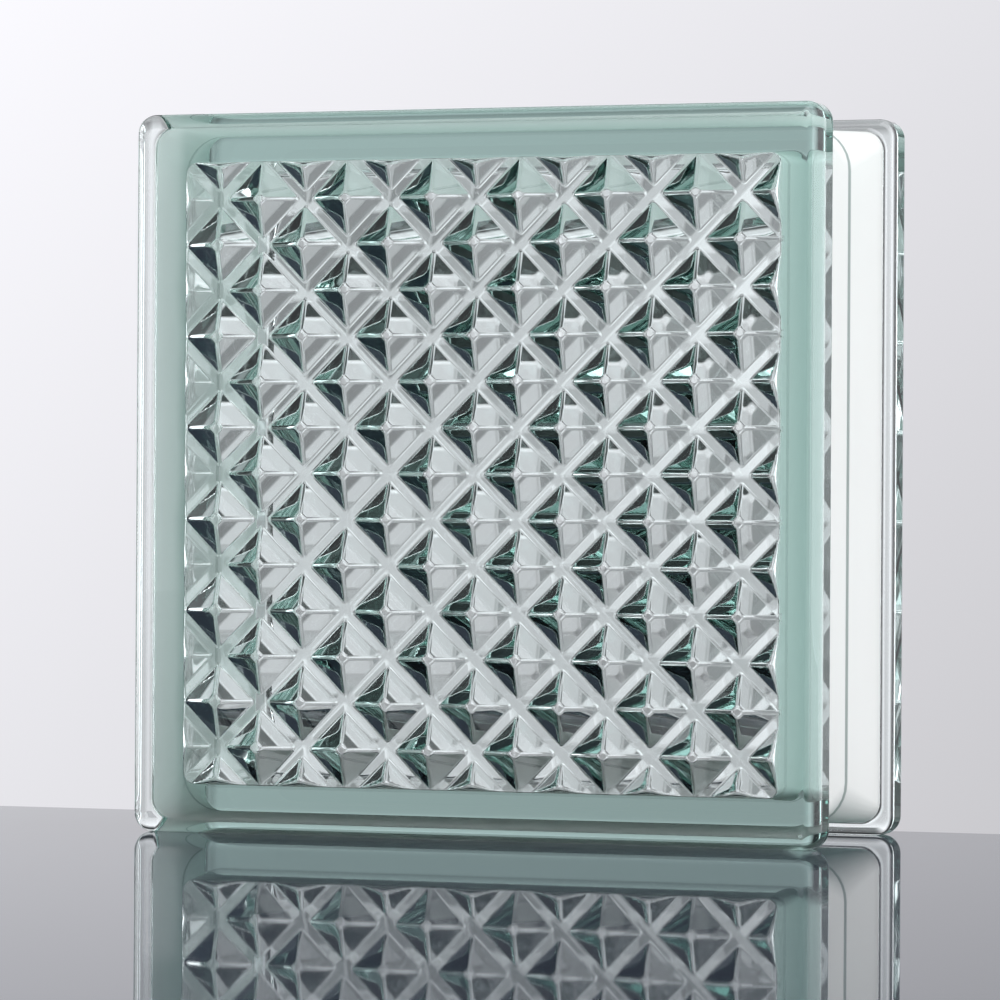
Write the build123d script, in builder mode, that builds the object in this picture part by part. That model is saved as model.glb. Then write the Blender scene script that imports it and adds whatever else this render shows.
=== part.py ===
from build123d import *
from math import atan2, degrees, sqrt
import os

# A hollow glass block: two pressed half shells fused along a seam round the middle.
# Millimetres. X is the width, Y the depth with the front face at -Y, Z is up.
# The block stands on its two rims, and the origin is under its middle.

# Outside of the block
face_size = 190.0  # width and height over the rims
block_depth = 80.0  # front face to back face
rim_width = 11.5  # depth of each rim, from the face to the channel
rim_corner_radius = 5.0
rim_edge_radius = 4.0  # round edge between a face and its rim
rim_lip_radius = 2.0  # round edge between a rim and the channel

# Mortar channel round all four sides, deepest at the fused seam in its middle
rim_channel_depth = 3.4
seam_channel_depth = 4.6
channel_corner_radius = 8.0  # corner of the side walls at the seam
channel_root_radius = 1.3
seam_width = 2.4
seam_height = 0.5
seam_edge_bevel = 0.3

# Sealed hollow inside
panel_thickness = 10.0  # face to the top of the lattice bars
wall_thickness = 6.0  # side wall at the seam
hollow_draft_degrees = 4.0
hollow_corner_radius = 5.0
hollow_edge_radius = 4.0  # round edge where a panel meets the side walls

# Diamond lattice pressed into the inner side of both panels
cell_count = 7  # cells across a face
bar_width = 2.6  # flat top of each lattice bar
pit_depth = 4.2  # height of the bars over the floor of the pits between them
pit_tip_size = 2.4  # flat floor of each pit

# Worked out from the sizes above
half_depth = block_depth / 2
channel_half_width = half_depth - rim_width
channel_lean_degrees = degrees(atan2(seam_channel_depth - rim_channel_depth, channel_half_width))
seam_wall_size = face_size - 2 * seam_channel_depth
hollow_size = seam_wall_size - 2 * wall_thickness
hollow_reach = half_depth - panel_thickness + pit_depth
bead_size = seam_wall_size + 2 * seam_height
bead_root_size = hollow_size + wall_thickness  # the bead's ring starts inside the wall
bar_pitch = hollow_size / cell_count / sqrt(2)
bar_base = bar_pitch - pit_tip_size
bar_flank = (bar_base - bar_width) / 2
bar_flank_degrees = degrees(atan2(pit_depth, bar_flank))
bars_each_way = 2 * cell_count + 1
bar_length = hollow_size * sqrt(2)

seam_plane = Plane((0, 0, face_size / 2), x_dir=(1, 0, 0), z_dir=(0, -1, 0))
pit_floor_plane = seam_plane.offset(hollow_reach)
bar_end_plane = Plane((0, -hollow_reach, face_size / 2), x_dir=(1, 0, -1), z_dir=(1, 0, 1))

# Lattice for one panel: bars with sloping flanks run along both diagonals of the cells, and leave
# a square pit standing on its corner, with four sloping sides, on the middle of every cell edge
with BuildPart() as lattice:
    with BuildSketch(bar_end_plane):
        with GridLocations(bar_pitch, bar_pitch, bars_each_way, 1):
            Trapezoid(bar_base, pit_depth, bar_flank_degrees, align=(Align.CENTER, Align.MIN))
    extrude(amount=bar_length / 2, both=True)
    mirror(about=Plane.YZ)
    with BuildSketch(pit_floor_plane):
        Rectangle(hollow_size, hollow_size)
    extrude(amount=-pit_depth, mode=Mode.INTERSECT)

with BuildPart() as glass_block:
    # Front half of the outside: the side walls, which lean in towards the seam, and the wider rim
    with BuildSketch(seam_plane):
        RectangleRounded(seam_wall_size, seam_wall_size, channel_corner_radius)
    extrude(amount=channel_half_width, taper=-channel_lean_degrees)
    with BuildSketch(seam_plane.offset(channel_half_width)):
        RectangleRounded(face_size, face_size, rim_corner_radius)
    extrude(amount=rim_width)

    # Round edges of the rim: to the face, to the channel, and in the channel's root
    front_face = glass_block.faces().sort_by(Axis.Y).first
    fillet(front_face.edges(), radius=rim_edge_radius)
    rim_back = glass_block.faces().filter_by(Axis.Y).sort_by(Axis.Y)[1]
    rim_root = rim_back.inner_wires()[0].edges()
    fillet(rim_root, radius=channel_root_radius)
    rim_back = glass_block.faces().filter_by(Axis.Y).sort_by(Axis.Y)[1]
    fillet(rim_back.outer_wire().edges(), radius=rim_lip_radius)

    # Half of the hollow, drafted so that the press can leave it, with a round inner edge
    with BuildSketch(seam_plane):
        RectangleRounded(hollow_size, hollow_size, hollow_corner_radius)
    extrude(amount=hollow_reach, taper=hollow_draft_degrees, mode=Mode.SUBTRACT)
    hollow_end = glass_block.faces(Select.LAST).sort_by(Axis.Y).first
    fillet(hollow_end.edges(), radius=hollow_edge_radius)

    # The lattice stands on the panel, and the side walls close its outermost pits
    add(lattice.part)

    # The second pressed half, and the bead left by the fused seam
    mirror(about=seam_plane)
    with BuildSketch(seam_plane):
        RectangleRounded(bead_size, bead_size, channel_corner_radius + seam_height)
        RectangleRounded(bead_root_size, bead_root_size, hollow_corner_radius, mode=Mode.SUBTRACT)
    extrude(amount=seam_width / 2, both=True)
    bead_sides = glass_block.faces(Select.LAST).filter_by(Axis.Y)
    chamfer([edge for side in bead_sides for edge in side.outer_wire().edges()], length=seam_edge_bevel)

glass_block.part.label = "glass_block"

os.makedirs("parts", exist_ok=True)
export_step(glass_block.part, "parts/glass_block.step")
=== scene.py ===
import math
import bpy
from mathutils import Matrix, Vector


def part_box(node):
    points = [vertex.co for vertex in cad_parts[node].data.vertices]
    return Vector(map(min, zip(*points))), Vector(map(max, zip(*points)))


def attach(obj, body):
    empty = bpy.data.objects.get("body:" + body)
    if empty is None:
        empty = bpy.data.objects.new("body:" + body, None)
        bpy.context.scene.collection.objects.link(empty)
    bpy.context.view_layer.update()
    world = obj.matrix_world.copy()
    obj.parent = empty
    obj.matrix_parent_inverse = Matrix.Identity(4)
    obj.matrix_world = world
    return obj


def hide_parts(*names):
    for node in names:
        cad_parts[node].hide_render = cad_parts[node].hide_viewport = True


bl_info = {
    "name": "Glass block",
    "version": (1, 0, 0),
    "blender": (4, 5, 0),
    "location": "View3D > Sidebar > Glass block",
    "description": "The look of a hollow glass block with a pressed diamond lattice, made round its CAD frame",
    "category": "Object",
}

import bpy
import numpy as np
from bpy.props import FloatProperty, FloatVectorProperty, IntProperty, PointerProperty
from mathutils import Matrix, Vector
from mathutils.geometry import delaunay_2d_cdt

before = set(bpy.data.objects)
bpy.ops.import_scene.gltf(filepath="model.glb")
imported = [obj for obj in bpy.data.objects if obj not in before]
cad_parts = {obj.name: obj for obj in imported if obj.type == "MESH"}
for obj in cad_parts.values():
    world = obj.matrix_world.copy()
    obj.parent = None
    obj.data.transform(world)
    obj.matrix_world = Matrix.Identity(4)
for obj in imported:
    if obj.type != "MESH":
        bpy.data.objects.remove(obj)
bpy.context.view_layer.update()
BLOCK_LOW, BLOCK_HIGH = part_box("glass_block")


def length(name, description, default):
    """A length that a user may change, in metres."""
    return FloatProperty(name=name, description=description, default=default, min=0.0, precision=4, unit="LENGTH")


class GlassBlockSizes(bpy.types.PropertyGroup):
    """Sizes of the glass block. The outside sizes come from the frame."""

    face_size: length("Face size", "Width and height over the rims", BLOCK_HIGH.x - BLOCK_LOW.x)
    depth: length("Depth", "Front face to back face", BLOCK_HIGH.y - BLOCK_LOW.y)
    rim_width: length("Rim width", "Depth of a rim, from its face to the mortar channel", 0.0115)
    rim_corner: length("Rim corner radius", "Corner of the square rim, seen from the front", 0.005)
    rim_edge: length("Rim edge radius", "Round edge between a face and its rim", 0.004)
    rim_lip: length("Rim lip radius", "Round edge between a rim and the channel", 0.002)
    rim_channel: length("Channel depth at rim", "How far the side walls lie below the rims, beside them", 0.0034)
    rim_channel_corner: length("Channel corner at rim", "Corner radius of the side walls, beside the rims", 0.005)
    seam_channel: length("Channel depth at seam", "How far the side walls lie below the rims, at the seam", 0.0046)
    seam_channel_corner: length("Channel corner at seam", "Corner radius of the side walls, at the seam", 0.011)
    channel_root: length("Channel root radius", "Round inner corner between side wall and rim", 0.0013)
    seam_width: length("Seam width", "Width of the bead of the fused seam", 0.0024)
    seam_height: length("Seam height", "Height of the bead over the side wall", 0.0005)
    panel_thickness: length("Panel thickness", "Face to the top of the lattice bars", 0.010)
    wall_thickness: length("Wall thickness", "Side wall at the seam", 0.006)
    hollow_draft: FloatProperty(name="Draft", description="Slope of the hollow's side walls",
                                default=math.radians(4), subtype="ANGLE")
    hollow_corner: length("Hollow corner radius", "Corner of the hollow at the seam", 0.005)
    hollow_edge: length("Hollow edge radius", "Round edge where a panel meets the side walls", 0.004)
    cell_count: IntProperty(name="Cells", description="Cells of the lattice across a face", default=7, min=1)
    bar_width: length("Bar width", "Flat top of a lattice bar, before its edges are rounded", 0.0026)
    bar_rounding: length("Bar rounding", "Radius of the edge between a bar and a pit", 0.0014)
    pit_depth: length("Pit depth", "Height of the bars over the floor of the pits", 0.0042)
    pit_tip: length("Pit tip", "Floor of a pit, before it is rounded", 0.0024)
    pit_tip_rounding: length("Tip rounding", "Radius of the edge between a pit's sides and its floor", 0.0018)
    pit_valley: length("Valley rounding", "Corner radius of a pit, seen from the front", 0.001)
    border_blend: length("Border blend", "Rounding where the pits run into the side walls", 0.0012)


class GlassBlockLook(bpy.types.PropertyGroup):
    """Colours and finish of the glass."""

    tint: FloatVectorProperty(name="Tint", description="Colour that the glass lets through", subtype="COLOR",
                              default=(0.193, 0.471, 0.414), min=0.0, max=1.0)
    tint_density: FloatProperty(name="Tint density", description="How fast the tint deepens, per metre of glass",
                                default=14.0, min=0.0)
    refraction: FloatProperty(name="Refraction", description="Index of refraction", default=1.52, min=1.0, max=2.5)
    wave_height: length("Wave height", "Height of the faint waves left by the pressing", 0.000004)
    coat_light: FloatVectorProperty(name="Coat light", description="Palest colour of the matt coat on the side walls",
                                    subtype="COLOR", default=(0.93, 0.92, 0.89), min=0.0, max=1.0)
    coat_dark: FloatVectorProperty(name="Coat dark", description="Darkest colour of the matt coat on the side walls",
                                   subtype="COLOR", default=(0.89, 0.88, 0.85), min=0.0, max=1.0)
    # Painted shade: a dark grey for the coat on the seam's bead, standing in for the shade that falls on the bead.
    seam_painted_shade: FloatVectorProperty(name="Coat at seam", description="Colour of the thin coat on the fused seam",
                                   subtype="COLOR", default=(0.36, 0.38, 0.37), min=0.0, max=1.0)
    coat_glow: FloatVectorProperty(name="Coat glow", description="Colour of the light that the coat lets through",
                                   subtype="COLOR", default=(0.745, 0.90, 0.845), min=0.0, max=1.0)
    coat_sheer: FloatProperty(name="Coat sheer", description="Share of the light that the coat lets through",
                              default=0.42, min=0.0, max=1.0, subtype="FACTOR")


class GlassBlockStage(bpy.types.PropertyGroup):
    """Floor, light and camera."""

    floor_light: FloatVectorProperty(name="Floor light", description="Palest colour of the table top",
                                     subtype="COLOR", default=(0.036, 0.044, 0.058), min=0.0, max=1.0)
    floor_dark: FloatVectorProperty(name="Floor dark", description="Darkest colour of the table top",
                                    subtype="COLOR", default=(0.028, 0.035, 0.047), min=0.0, max=1.0)
    floor_roughness: FloatProperty(name="Floor roughness", description="Dullness of the table top", default=0.02,
                                   min=0.0, max=1.0)
    room: FloatVectorProperty(name="Room", description="Colour of the studio's soft light", subtype="COLOR",
                              default=(0.99, 0.985, 1.03), min=0.0, max=2.0)
    lens: FloatProperty(name="Lens", description="Focal length of the camera in millimetres", default=187.46)
    distance: length("Camera distance", "Camera to the middle of the picture", 1.38603)
    turn: FloatProperty(name="Camera turn", description="How far the camera stands to the right of the front",
                        default=0.35322, subtype="ANGLE")


# Surfaces of the block

CORNER_STEPS = 8  # along each corner of the skin and of the hollow
BORDER_STEPS = 200  # along each side of a panel's border
EDGE_ROWS = 9  # rows of points over the round edge between a panel and the side walls
MERGE_DISTANCE = 1e-7  # in cells of the lattice
NUDGE_SHARE = 1e-4  # step for slopes, as a share of a cell


def ring_pattern(corner_steps, side_steps):
    """Where the points of a rounded square sit, for any size of it, as the arrays along and out.

    A point is (half size - corner radius) * along + corner radius * out. On the four quarter arcs, out turns from
    one side's normal to the next and along stays on a corner of the unit square. On the straight sides, out stays
    and along runs from corner to corner. The points go round from +x towards +z.
    """
    quarter = np.arange(4)[:, None] * (math.pi / 2)
    turn = quarter + np.linspace(0, math.pi / 2, corner_steps + 1)
    arc_out = np.stack([np.cos(turn), np.sin(turn)], axis=-1)
    diagonal = quarter + math.pi / 4
    corner = np.stack([np.cos(diagonal), np.sin(diagonal)], axis=-1) * math.sqrt(2)
    arc_along = np.broadcast_to(corner, arc_out.shape)
    share = np.linspace(0, 1, side_steps + 1)[1:-1, None]
    side_along = corner + (np.roll(corner, -1, axis=0) - corner) * share
    side_out = np.broadcast_to(arc_out[:, -1:], side_along.shape)
    along = np.concatenate([arc_along, side_along], axis=1).reshape(-1, 2)
    out = np.concatenate([arc_out, side_out], axis=1).reshape(-1, 2)
    return along, out


def rounded_squares(half, radius, along, out):
    """One ring of points for each half size and corner radius, as an array of rings, points and x, z."""
    half = np.asarray(half, float)[:, None, None]
    radius = np.asarray(radius, float)[:, None, None]
    return (half - radius) * along + radius * out


def carry_profile(stations, pattern, centre_height, facing=1):
    """A profile carried round a rounded square: points and normals, as arrays of stations, points and x, y, z.

    A station has the half size, the corner radius and y of its ring, and how fast each of them grows along the
    profile. The normal stands square to the ring and to the profile. facing is 1 for an outside, -1 for an inside.
    """
    along, out = pattern
    half, radius, y, half_rate, radius_rate, y_rate = stations.T[:, :, None]
    ring = rounded_squares(stations[:, 0], stations[:, 1], along, out)
    points = np.stack(np.broadcast_arrays(ring[..., 0], y, ring[..., 1] + centre_height), axis=-1)
    reach = (along * out).sum(axis=1)
    lean = -((half_rate - radius_rate) * reach + radius_rate)
    normals = np.stack(np.broadcast_arrays(y_rate * out[:, 0], lean, y_rate * out[:, 1]), axis=-1)
    normals = normals * facing / np.linalg.norm(normals, axis=-1, keepdims=True)
    return points, normals


def ring_quads(rows, count, first=0):
    """Quads between neighbouring rings of count points each, seen from outside, for rings that run towards +y."""
    row = np.arange(rows - 1)[:, None] * count + first
    here = row + np.arange(count)
    beside = row + np.roll(np.arange(count), -1)
    return np.stack([here, here + count, beside + count, beside], axis=-1).reshape(-1, 4)


def stations_of(*columns):
    """Columns of numbers, each an array or one number, as an array of stations."""
    return np.stack(np.broadcast_arrays(*columns), axis=1)


def skin_profile(sizes, steps=7):
    """Outside of the block, from the front face round the rim into the channel, over the seam, and back again.

    Arcs make the rim's edge, its lip and the root of the channel. The side walls lean in towards the seam, and
    their corners get rounder. The seam's bead is a raised cosine.
    """
    front = sizes.depth / 2
    face_half = sizes.face_size / 2
    rim_back = sizes.rim_width - front
    wall_lean = (sizes.seam_channel - sizes.rim_channel) / rim_back
    corner_growth = (sizes.rim_channel_corner - sizes.seam_channel_corner) / rim_back

    def wall_half(y):
        return face_half - sizes.rim_channel + (y - rim_back) * wall_lean

    def wall_corner(y):
        return sizes.rim_channel_corner + (y - rim_back) * corner_growth

    turn = np.linspace(0, math.pi / 2, steps)
    sine, cosine = np.sin(turn), np.cos(turn)
    edge_half = face_half - sizes.rim_edge * (1 - sine)
    edge_depth = sizes.rim_edge * (1 - cosine) - front
    edge = stations_of(edge_half, edge_half - face_half + sizes.rim_corner, edge_depth, cosine, cosine, sine)
    lip_half = face_half - sizes.rim_lip * (1 - cosine)
    lip_depth = rim_back - sizes.rim_lip * (1 - sine)
    lip = stations_of(lip_half, lip_half - face_half + sizes.rim_corner, lip_depth, -sine, -sine, cosine)

    lean_angle = -math.atan(wall_lean)
    turn = np.linspace(0, math.pi / 2 - lean_angle, steps)
    sine, cosine = np.sin(turn), np.cos(turn)
    root_middle = wall_half(rim_back) + sizes.channel_root * (1 - math.sin(lean_angle)) / math.cos(lean_angle)
    root_half = root_middle - sizes.channel_root * sine
    root_depth = rim_back + sizes.channel_root * (1 - cosine)
    root_corner = wall_corner(root_depth) + root_half - wall_half(root_depth)
    root = stations_of(root_half, root_corner, root_depth,
                       -cosine, (corner_growth - wall_lean) * sine - cosine, sine)

    share = np.linspace(-1, 0, steps + 1)
    bead_depth = share * sizes.seam_width / 2
    bead = sizes.seam_height * (1 + np.cos(math.pi * share)) / 2
    bead_rise = -sizes.seam_height * math.pi * np.sin(math.pi * share) / sizes.seam_width
    level = np.where(share < 0, 1, 0)
    seam = stations_of(wall_half(bead_depth) + bead, wall_corner(bead_depth) + bead, bead_depth,
                       bead_rise + wall_lean * level, bead_rise + corner_growth * level, 1)

    half_skin = np.concatenate([edge, lip, root, seam])
    return np.concatenate([half_skin, half_skin[-2::-1] * (1, 1, -1, -1, -1, 1)])


class Hollow:
    """The sealed hollow: two drafted halves that meet at the seam, with the diamond lattice on both ends."""

    def __init__(self, sizes):
        self.sizes = sizes
        self.front = sizes.depth / 2
        self.half = sizes.face_size / 2 - sizes.seam_channel - sizes.wall_thickness
        self.slope = math.tan(sizes.hollow_draft)
        self.corner_middle = self.half - sizes.hollow_corner
        self.pitch = 2 * self.half / sizes.cell_count
        self.bar_pitch = self.pitch / math.sqrt(2)
        self.pit_half = (self.bar_pitch - sizes.bar_width) / 2
        self.tip_half = sizes.pit_tip / 2
        self.flank = math.atan2(sizes.pit_depth, self.pit_half - self.tip_half)
        self.floor = sizes.panel_thickness - sizes.pit_depth

        # Where the rounded edge between panel and side wall starts and ends
        quarter_turn = (math.pi / 2 - sizes.hollow_draft) / 2
        reach = sizes.hollow_edge * math.tan(quarter_turn)
        self.edge_start = self.half_at(self.floor) - reach
        self.edge_end = self.edge_start + sizes.hollow_edge * math.cos(sizes.hollow_draft)
        self.edge_end_thickness = self.floor + sizes.hollow_edge * (1 - math.sin(sizes.hollow_draft))
        self.border_thickness = sizes.panel_thickness + sizes.hollow_edge
        self.border_half = self.half_at(self.border_thickness)

        # Half sizes of a pit where its rounded edges start and end
        bar_reach = sizes.bar_rounding * math.tan(self.flank / 2)
        tip_reach = sizes.pit_tip_rounding * math.tan(self.flank / 2)
        self.bar_arc = (self.pit_half - bar_reach * math.cos(self.flank), self.pit_half + bar_reach)
        self.tip_arc = (self.tip_half - tip_reach, self.tip_half + tip_reach * math.cos(self.flank))

    def half_at(self, thickness):
        """Half width of the drafted hollow at a distance behind the face."""
        return self.half - (self.front - thickness) * self.slope

    def pit_level(self, x, z):
        """Half size of the rounded square, standing on its corner in the nearest pit, that runs through x, z.

        In the pit's own turned axes u and v it is the larger of u and v, with a corner of the valley's radius:
        there it solves (u - e)^2 + (v - e)^2 = r^2 for e = level - r. Below that radius the squares are circles.
        """
        u = np.abs(np.mod((x + z) / math.sqrt(2), self.bar_pitch) - self.bar_pitch / 2)
        v = np.abs(np.mod((z - x) / math.sqrt(2), self.bar_pitch) - self.bar_pitch / 2)
        radius = self.sizes.pit_valley
        gap = np.minimum(np.abs(u - v), radius)
        inset = (u + v - np.sqrt(2 * radius**2 - gap**2)) / 2
        level = np.where(np.abs(u - v) < radius, inset + radius, np.maximum(u, v))
        return np.where((inset < 0) & (np.abs(u - v) < radius), np.hypot(u, v), level)

    def pit_drop(self, level):
        """Depth below the bars at a half size of the pit: a round edge, a straight flank, and a round tip."""
        sizes = self.sizes
        bar_run = np.clip(self.bar_arc[1] - level, 0, sizes.bar_rounding * math.sin(self.flank))
        bar_drop = sizes.bar_rounding - np.sqrt(sizes.bar_rounding**2 - bar_run**2)
        tip_run = np.clip(level - self.tip_arc[0], 0, sizes.pit_tip_rounding * math.sin(self.flank))
        tip_drop = sizes.pit_depth - sizes.pit_tip_rounding + np.sqrt(sizes.pit_tip_rounding**2 - tip_run**2)
        flank_drop = (self.pit_half - level) * math.tan(self.flank)
        return np.where(level > self.bar_arc[0], bar_drop, np.where(level > self.tip_arc[1], flank_drop, tip_drop))

    def square_level(self, x, z):
        """Half size of the hollow's rounded square that runs through x, z: squares inside, round corners outside."""
        across = np.abs(x) - self.corner_middle
        upward = np.abs(z) - self.corner_middle
        outside = np.hypot(np.maximum(across, 0), np.maximum(upward, 0))
        inside = np.minimum(np.maximum(across, upward), 0)
        return self.corner_middle + outside + inside

    def wall_thickness_at(self, half):
        """Distance behind the face of the hollow's plain end: its floor, a round edge, then the drafted side wall."""
        radius = self.sizes.hollow_edge
        run = half - self.edge_start
        arc = self.floor + radius - np.sqrt(np.maximum(radius**2 - np.clip(run, 0, radius) ** 2, 0))
        wall = self.edge_end_thickness + (half - self.edge_end) / self.slope
        return np.where(run < 0, self.floor + run, np.where(half < self.edge_end, arc, wall))

    def thickness(self, x, z):
        """Distance from the face to the hollow at x, z: lattice and plain end, whichever is more, blended."""
        lattice = self.sizes.panel_thickness - self.pit_drop(self.pit_level(x, z))
        plain = self.wall_thickness_at(self.square_level(x, z))
        blend = self.sizes.border_blend
        overlap = np.maximum(blend - np.abs(lattice - plain), 0)
        return np.maximum(lattice, plain) + overlap**2 / (4 * blend)

    def panel_points(self, border_pattern, valley_steps=4, side_steps=4, arc_steps=4):
        """Points of one panel in x, z, and the edges that its triangles keep.

        The border comes first, then squares inside it that follow the round edge, then for each pit the rounded
        squares at which its profile bends.
        """
        border = rounded_squares([self.border_half], [self.border_half - self.corner_middle], *border_pattern)[0]
        edge_run = np.sin(np.linspace(0, math.pi / 2, EDGE_ROWS + 1))[:-1] * self.sizes.hollow_edge
        rows_half = np.concatenate([self.edge_start + edge_run, [(self.edge_end + self.border_half) / 2]])
        rows_radius = np.maximum(rows_half - self.corner_middle, 0)
        rows = rounded_squares(rows_half, rows_radius, *border_pattern).reshape(-1, 2)

        along, out = ring_pattern(valley_steps, side_steps)
        quarter = np.array([[1, 1], [-1, 1]]) / math.sqrt(2)
        levels = np.concatenate([np.linspace(*self.bar_arc, arc_steps + 1)[::-1],
                                 np.linspace(*self.tip_arc, arc_steps + 1)[::-1]])
        levels = np.maximum(levels, self.tip_half / 10)
        rings = rounded_squares(levels, np.minimum(self.sizes.pit_valley, levels), along, out) @ quarter
        steps = np.arange(-self.sizes.cell_count, self.sizes.cell_count + 1)
        column, row = np.meshgrid(steps, steps, indexing="ij")
        on_edge = (column + row + self.sizes.cell_count) % 2 == 0
        centres = np.stack([column[on_edge], row[on_edge]], axis=-1) * self.pitch / 2
        pits = (centres[:, None, None] + rings[None]).reshape(-1, 2)

        count = along.shape[0]
        start = np.arange(len(centres) * len(levels))[:, None] * count
        here = np.arange(count)
        pit_edges = np.stack([start + here, start + np.roll(here, -1)], axis=-1).reshape(-1, 2)
        valley = (np.arange(0, count, count // 4)[:, None] + np.arange(valley_steps + 1)).ravel()
        spoke = np.arange(len(centres))[:, None] * len(levels) * count + arc_steps * count + valley
        pit_edges = np.concatenate([pit_edges, np.stack([spoke, spoke + count], axis=-1).reshape(-1, 2)])
        level = self.square_level(pits[:, 0], pits[:, 1])
        kept = level < self.edge_end
        number = np.cumsum(kept) - 1 + len(border) + len(rows)
        pit_edges = number[pit_edges[kept[pit_edges].all(axis=1)]]
        border_index = np.arange(len(border))
        border_edges = np.stack([border_index, np.roll(border_index, -1)], axis=-1)
        return np.concatenate([border, rows, pits[kept]]), np.concatenate([border_edges, pit_edges])

    def panel(self, border_pattern):
        """The front panel's inner surface: points, normals into the hollow, and triangles."""
        flat, edges = self.panel_points(border_pattern)
        scale = 1 / self.pitch
        _, _, faces, originals, _, _ = delaunay_2d_cdt((flat * scale).tolist(), edges.tolist(), [], 1, MERGE_DISTANCE)
        source = np.array([original[0] for original in originals])
        used, corners = np.unique(source[np.array(faces)], return_inverse=True)
        triangles = corners.reshape(-1, 3)
        x, z = flat[used].T
        nudge = self.pitch * NUDGE_SHARE
        across = (self.thickness(x + nudge, z) - self.thickness(x - nudge, z)) / (2 * nudge)
        upward = (self.thickness(x, z + nudge) - self.thickness(x, z - nudge)) / (2 * nudge)
        normals = np.stack([-across, np.ones_like(across), -upward], axis=-1)
        normals /= np.linalg.norm(normals, axis=1, keepdims=True)
        points = np.stack([x, self.thickness(x, z) - self.front, z + self.sizes.face_size / 2], axis=-1)
        return points, normals, triangles

    def walls(self, border_pattern, steps=5):
        """The side walls between the two panels' borders, rounded over the seam: points and normals by station."""
        reach = self.front - self.border_thickness
        depth = np.linspace(-1, 1, 2 * steps + 1) ** 3 * reach
        soft = np.hypot(depth, self.sizes.seam_width)
        half = self.half - soft * self.slope
        half[[0, -1]] = self.border_half
        rise = -depth / soft * self.slope
        stations = stations_of(half, half - self.corner_middle, depth, rise, rise, 1)
        return carry_profile(stations, border_pattern, self.sizes.face_size / 2, facing=-1)


def glass_block_mesh(sizes):
    """The block as one mesh of two closed surfaces: its outside, and the hollow, whose normals point into it."""
    skin_pattern = ring_pattern(CORNER_STEPS, 1)
    skin_points, skin_normals = carry_profile(skin_profile(sizes), skin_pattern, sizes.face_size / 2)
    stations, count = skin_points.shape[:2]
    skin_faces = ring_quads(stations, count)
    front_face = list(range(count))
    back_face = list(range(stations * count - 1, (stations - 1) * count - 1, -1))

    hollow = Hollow(sizes)
    border_pattern = ring_pattern(CORNER_STEPS, BORDER_STEPS)
    front_points, front_normals, triangles = hollow.panel(border_pattern)
    wall_points, wall_normals = hollow.walls(border_pattern)
    back_points, back_normals = front_points * (1, -1, 1), front_normals * (1, -1, 1)
    rows, border = wall_points.shape[:2]
    first_front = stations * count
    first_wall = first_front + len(front_points)
    first_back = first_wall + (rows - 2) * border
    wall_index = np.concatenate([
        first_front + np.arange(border),
        first_wall + np.arange((rows - 2) * border),
        first_back + np.arange(border),
    ])
    wall_faces = wall_index[ring_quads(rows, border)[:, ::-1]]

    points = np.concatenate([skin_points.reshape(-1, 3), front_points,
                             wall_points[1:-1].reshape(-1, 3), back_points])
    normals = np.concatenate([skin_normals.reshape(-1, 3), front_normals,
                              wall_normals[1:-1].reshape(-1, 3), back_normals])
    faces = [front_face, back_face]
    faces += skin_faces.tolist() + wall_faces.tolist()
    faces += (triangles[:, ::-1] + first_front).tolist() + (triangles + first_back).tolist()
    mesh = bpy.data.meshes.new("glass_block_surface")
    mesh.from_pydata(points.tolist(), [], faces)
    mesh.polygons.foreach_set("use_smooth", np.ones(len(faces), dtype=bool))
    mesh.normals_split_custom_set_from_vertices(normals.tolist())
    mesh.update()
    return mesh


# Shader nodes

class Nodes:
    """A node tree to add to."""

    def __init__(self, tree):
        tree.nodes.clear()
        self.tree = tree

    def add(self, kind, settings=None, **inputs):
        """A node of a kind, with its settings and its inputs by name, where _ stands for a blank. An input is a
        value or a Shade."""
        node = self.tree.nodes.new(kind)
        for name, value in (settings or {}).items():
            setattr(node, name, value)
        for name, value in inputs.items():
            self.feed(value, self.pick(node.inputs, name.replace("_", " ")))
        return node

    def out(self, kind, output, settings=None, **inputs):
        """An output of a new node, as a Shade."""
        return Shade(self, self.pick(self.add(kind, settings, **inputs).outputs, output))

    def pick(self, sockets, name):
        """The socket of that name, or of that identifier, that the node's settings leave in use."""
        return next(socket for socket in sockets
                    if socket.enabled and name in (socket.name, socket.identifier.replace("_", " ")))

    def feed(self, value, socket):
        """Links a Shade to a socket, or sets a plain value on it."""
        if isinstance(value, Shade):
            self.tree.links.new(value.socket, socket)
        else:
            socket.default_value = value

    def math(self, operation, *values, clamp=False):
        """A Math node on numbers or Shades."""
        node = self.add("ShaderNodeMath", {"operation": operation, "use_clamp": clamp})
        for value, socket in zip(values, node.inputs):
            self.feed(value, socket)
        return Shade(self, node.outputs[0])


class Shade:
    """A number that changes over a surface: a node's output, with arithmetic that adds Math nodes."""

    def __init__(self, nodes, socket):
        self.nodes = nodes
        self.socket = socket

    def __add__(self, other):
        return self.nodes.math("ADD", self, other)

    def __radd__(self, other):
        return self.nodes.math("ADD", other, self)

    def __sub__(self, other):
        return self.nodes.math("SUBTRACT", self, other)

    def __rsub__(self, other):
        return self.nodes.math("SUBTRACT", other, self)

    def __mul__(self, other):
        return self.nodes.math("MULTIPLY", self, other)

    def __rmul__(self, other):
        return self.nodes.math("MULTIPLY", other, self)

    def __truediv__(self, other):
        return self.nodes.math("DIVIDE", self, other)

    def __abs__(self):
        return self.nodes.math("ABSOLUTE", self)

    def clamped(self):
        return self.nodes.math("ADD", self, 0.0, clamp=True)


def axes(nodes, vector):
    """The three parts of a vector, as Shades."""
    split = nodes.add("ShaderNodeSeparateXYZ", Vector=vector)
    return [Shade(nodes, socket) for socket in split.outputs]


def new_material(name):
    """An empty material and its nodes."""
    material = bpy.data.materials.new(name)
    material.use_nodes = True
    return material, Nodes(material.node_tree)


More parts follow.
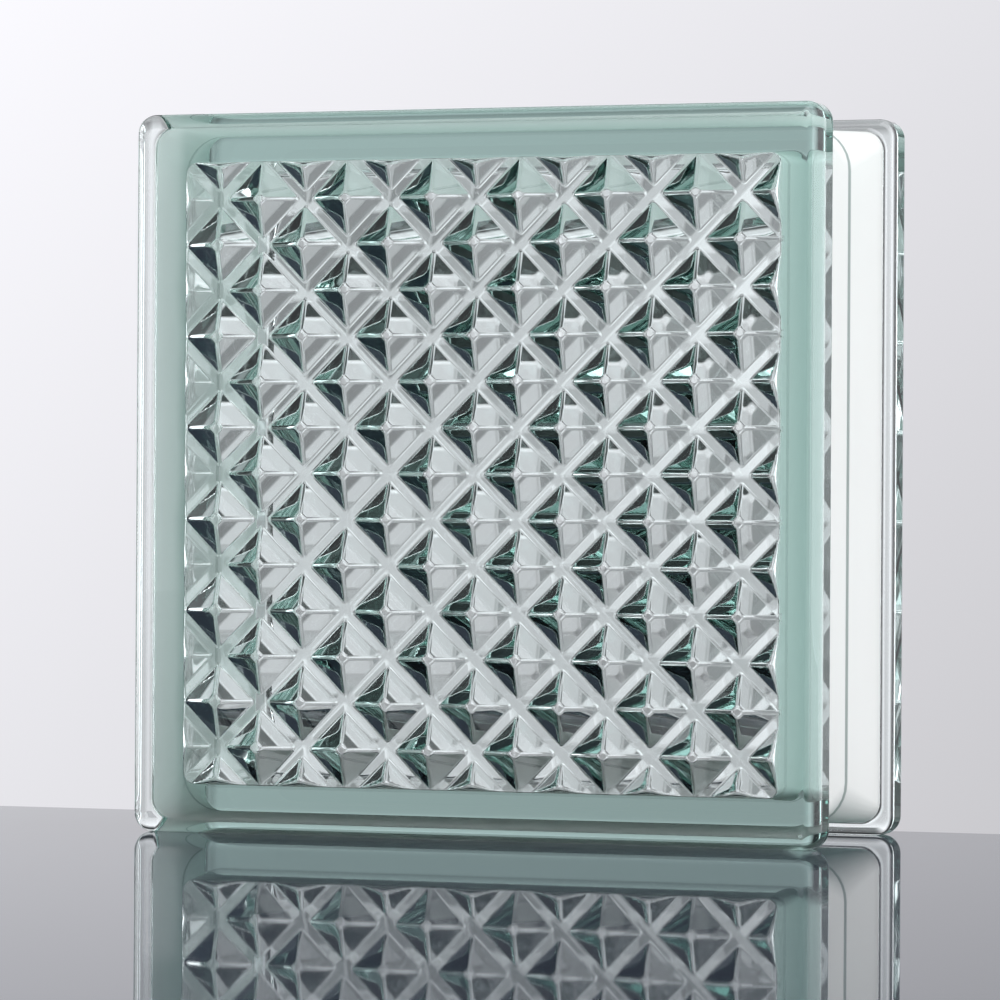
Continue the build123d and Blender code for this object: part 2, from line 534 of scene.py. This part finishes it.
WAVE_SCALE = 55.0
COAT_CLOUD_SCALE = 40.0
COAT_START_SHARE = 0.8  # of the side wall's thickness, where the coat's mask starts to take in the round corners
TABLE_CLOUD_SCALE = 4.0
TABLE_REFRACTION = 1.1


def glass_material(look, sizes):
    """Clear soda-lime glass with a matt white coat on its side walls, for the mortar to stick to.

    The glass has a green tint that deepens with thickness, and faint waves of the pressing. The coat is a little
    cloudy and lets some of the light through. It covers the channel and ends where the rims begin, which stay
    clear. On the seam's bead its colour is painted dark grey: painted shade for the bead.
    """
    material, nodes = new_material("clear_glass")
    place = nodes.out("ShaderNodeTexCoord", "Object")
    x, y, z = axes(nodes, place)
    waves = nodes.out("ShaderNodeTexNoise", "Fac", Vector=place, Scale=WAVE_SCALE, Detail=1.5, Roughness=0.4)
    bump = nodes.out("ShaderNodeBump", "Normal", Height=waves, Strength=1.0, Distance=look.wave_height)
    glass = nodes.out(
        "ShaderNodeBsdfPrincipled", "BSDF", Base_Color=(1.0, 1.0, 1.0, 1.0), Roughness=0.0, IOR=look.refraction,
        Transmission_Weight=1.0, Normal=bump)

    clouds = nodes.out("ShaderNodeTexNoise", "Fac", Vector=place, Scale=COAT_CLOUD_SCALE, Detail=3.0)
    white = nodes.out("ShaderNodeMix", "Result", {"data_type": "RGBA"}, Factor=clouds, A=(*look.coat_dark, 1.0),
                      B=(*look.coat_light, 1.0))
    # Painted shade: over the seam's bead the coat's colour turns dark grey, in place of the shade on the bead.
    seam = ((sizes.seam_width / 2 - abs(y)) / (sizes.seam_width / 8)).clamped()
    shade_painted = nodes.out("ShaderNodeMix", "Result", {"data_type": "RGBA"}, Factor=seam, A=white, B=(*look.seam_painted_shade, 1.0))
    matt = nodes.out("ShaderNodeBsdfPrincipled", "BSDF", Base_Color=shade_painted, Roughness=1.0, Specular_IOR_Level=0.0)
    sheer = nodes.out("ShaderNodeBsdfTranslucent", "BSDF", Color=(*look.coat_glow, 1.0))
    coat = nodes.out("ShaderNodeMixShader", "Shader", Fac=look.coat_sheer, Shader=matt, Shader_001=sheer)
    reach = nodes.math("MAXIMUM", abs(x), abs(z - sizes.face_size / 2))
    wall_half = sizes.face_size / 2 - sizes.seam_channel - sizes.wall_thickness * COAT_START_SHARE
    coat_end = sizes.depth / 2 - sizes.rim_width - sizes.channel_root / 2
    fade = sizes.rim_lip / 4
    cover = ((reach - wall_half) / fade).clamped() * ((coat_end - abs(y)) / fade).clamped()
    surface = nodes.out("ShaderNodeMixShader", "Shader", Fac=cover, Shader=glass, Shader_001=coat)
    volume = nodes.out("ShaderNodeVolumeAbsorption", "Volume", Color=(*look.tint, 1.0), Density=look.tint_density)
    nodes.add("ShaderNodeOutputMaterial", Surface=surface, Volume=volume)
    return material


def floor_material(look):
    """A polished table top that mirrors the pale backdrop, with faint clouds in its colour and its polish."""
    material, nodes = new_material("polished_table")
    place = nodes.out("ShaderNodeTexCoord", "Object")
    clouds = nodes.out("ShaderNodeTexNoise", "Fac", Vector=place, Scale=TABLE_CLOUD_SCALE, Detail=4.0)
    hue = nodes.out("ShaderNodeMix", "Result", {"data_type": "RGBA"}, Factor=clouds, A=(*look.floor_dark, 1.0),
                    B=(*look.floor_light, 1.0))
    surface = nodes.out("ShaderNodeBsdfPrincipled", "BSDF", Base_Color=hue,
                        Roughness=look.floor_roughness * (0.7 + 0.6 * clouds), IOR=TABLE_REFRACTION)
    nodes.add("ShaderNodeOutputMaterial", Surface=surface)
    return material


# Light of the studio, in degrees to the right of the camera's axis and over the horizon
ROOM_LEVEL = 0.05
BACKDROP_LEVEL = 0.72
BACKDROP_FALL = 0.0177  # per degree to the right
BACKDROP_RISE = 0.020  # per degree upwards
BACKDROP_WIDTH = (4.0, 21.0, 12.0)  # middle, half width, soft edge
BACKDROP_HEIGHT = (0.0, 22.0, 10.0)
SOFT_BOXES = (
    # heading, height, half width, half height, soft edge, level
    (-76.0, 8.0, 24.0, 18.0, 8.0, 4.8),
    (-131.0, 0.0, 5.0, 5.0, 0.1, 2.4),
    (-72.0, 46.0, 22.0, 12.0, 10.0, 1.0),
    (112.0, 20.0, 66.0, 34.0, 14.0, 2.9),
    (32.0, 0.0, 16.0, 24.0, 10.0, 0.3),
    (0.0, -34.0, 40.0, 14.0, 10.0, 0.45),
    (12.0, 52.0, 34.0, 12.0, 10.0, 1.0),
    (90.0, 80.0, 125.0, 18.0, 12.0, 1.1),
    (-160.0, 44.0, 20.0, 30.0, 12.0, 3.0),
)


# Corners of the table top, and the camera's aim, tilt and upward direction
TABLE_LOW, TABLE_HIGH = (-1.6, -12.0, -0.03), (1.6, 0.05, 0.0)
CAMERA_TARGET = (-0.005729, 0.0, 0.088390)
CAMERA_TILT = 0.000558
CAMERA_UP = (-0.005349, -0.002566, 0.999982)


def room_light(look):
    """Soft studio light: a lit backdrop, palest at the upper left, soft boxes round it, and a dim room in front."""
    world = bpy.data.worlds.new("studio")
    world.use_nodes = True
    nodes = Nodes(world.node_tree)
    x, y, z = axes(nodes, nodes.out("ShaderNodeTexCoord", "Generated"))
    ahead = y * math.cos(look.turn) - x * math.sin(look.turn)
    right = x * math.cos(look.turn) + y * math.sin(look.turn)
    heading = nodes.math("ARCTAN2", right, ahead) * math.degrees(1)
    height = nodes.math("ARCSINE", z) * math.degrees(1)

    def band(value, middle, half, soft):
        return ((half - abs(value - middle)) / soft + 0.5).clamped()

    backdrop = band(heading, *BACKDROP_WIDTH) * band(height, *BACKDROP_HEIGHT)
    level = ROOM_LEVEL + backdrop * (BACKDROP_LEVEL - BACKDROP_FALL * heading + BACKDROP_RISE * height)
    for middle, over, half_width, half_height, soft, strength in SOFT_BOXES:
        level = level + strength * (band(heading, middle, half_width, soft) * band(height, over, half_height, soft))
    sky = nodes.out("ShaderNodeBackground", "Background", Color=(*look.room, 1.0), Strength=level)
    nodes.add("ShaderNodeOutputWorld", Surface=sky)
    bpy.context.scene.world = world


def floor_plate(look):
    """The table top, a slim slab whose far edge is close behind the block."""
    low, high = np.array(TABLE_LOW), np.array(TABLE_HIGH)
    corner = np.stack(np.meshgrid([0, 1], [0, 1], [0, 1], indexing="ij"), axis=-1).reshape(-1, 3)
    points = low + (high - low) * corner
    faces = [(0, 1, 3, 2), (4, 6, 7, 5), (0, 4, 5, 1), (2, 3, 7, 6), (0, 2, 6, 4), (1, 5, 7, 3)]
    mesh = bpy.data.meshes.new("table_top")
    mesh.from_pydata(points.tolist(), [], faces)
    mesh.materials.append(floor_material(look))
    floor = bpy.data.objects.new("table_top", mesh)
    bpy.context.scene.collection.objects.link(floor)


def stage_camera(look):
    """A camera in front of the block at half its height, a little to the right, level, with the photo's lens."""
    ahead = Vector((-math.sin(look.turn), math.cos(look.turn), CAMERA_TILT)).normalized()
    right = ahead.cross(Vector(CAMERA_UP)).normalized()
    up = right.cross(ahead)
    data = bpy.data.cameras.new("camera")
    data.sensor_width = 36.0
    data.lens = look.lens
    data.clip_start = 0.01
    camera = bpy.data.objects.new("camera", data)
    turn = Matrix((right, up, -ahead)).transposed().to_4x4()
    camera.matrix_world = Matrix.Translation(Vector(CAMERA_TARGET) - ahead * look.distance) @ turn
    bpy.context.scene.collection.objects.link(camera)
    bpy.context.scene.camera = camera


class BuildGlassBlock(bpy.types.Operator):
    """Makes the glass block's surface and material, in place of the CAD node"""

    bl_idname = "object.glass_block_build"
    bl_label = "Build glass block"

    def execute(self, context):
        sizes = context.scene.glass_block_sizes
        mesh = glass_block_mesh(sizes)
        mesh.materials.append(glass_material(context.scene.glass_block_look, sizes))
        block = bpy.data.objects.new("glass_block_visual", mesh)
        context.scene.collection.objects.link(block)
        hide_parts("glass_block")
        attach(block, "root")
        return {"FINISHED"}


class BuildStage(bpy.types.Operator):
    """Makes the table top, the soft light and the camera"""

    bl_idname = "object.glass_block_stage"
    bl_label = "Build stage"

    def execute(self, context):
        look = context.scene.glass_block_stage
        floor_plate(look)
        room_light(look)
        stage_camera(look)
        context.scene.view_settings.view_transform = "Standard"
        cycles = context.scene.cycles
        cycles.max_bounces = 16
        cycles.transmission_bounces = 16
        cycles.glossy_bounces = 12
        return {"FINISHED"}


class GlassBlockPanel(bpy.types.Panel):
    """Sizes, finish and stage of the glass block"""

    bl_idname = "VIEW3D_PT_glass_block"
    bl_label = "Glass block"
    bl_space_type = "VIEW_3D"
    bl_region_type = "UI"
    bl_category = "Glass block"

    def draw(self, context):
        scene = context.scene
        for operator, groups in ((BuildGlassBlock, (scene.glass_block_sizes, scene.glass_block_look)),
                                 (BuildStage, (scene.glass_block_stage,))):
            box = self.layout.box()
            for group in groups:
                for name in group.__annotations__:
                    box.prop(group, name)
            box.operator(operator.bl_idname)


CLASSES = (GlassBlockSizes, GlassBlockLook, GlassBlockStage, BuildGlassBlock, BuildStage, GlassBlockPanel)


def register():
    for cls in CLASSES:
        bpy.utils.register_class(cls)
    bpy.types.Scene.glass_block_sizes = PointerProperty(type=GlassBlockSizes)
    bpy.types.Scene.glass_block_look = PointerProperty(type=GlassBlockLook)
    bpy.types.Scene.glass_block_stage = PointerProperty(type=GlassBlockStage)


def unregister():
    del bpy.types.Scene.glass_block_stage
    del bpy.types.Scene.glass_block_look
    del bpy.types.Scene.glass_block_sizes
    for cls in reversed(CLASSES):
        bpy.utils.unregister_class(cls)


def main():
    register()
    bpy.ops.object.glass_block_build()
    bpy.ops.object.glass_block_stage()


if __name__ == "__main__":
    main()
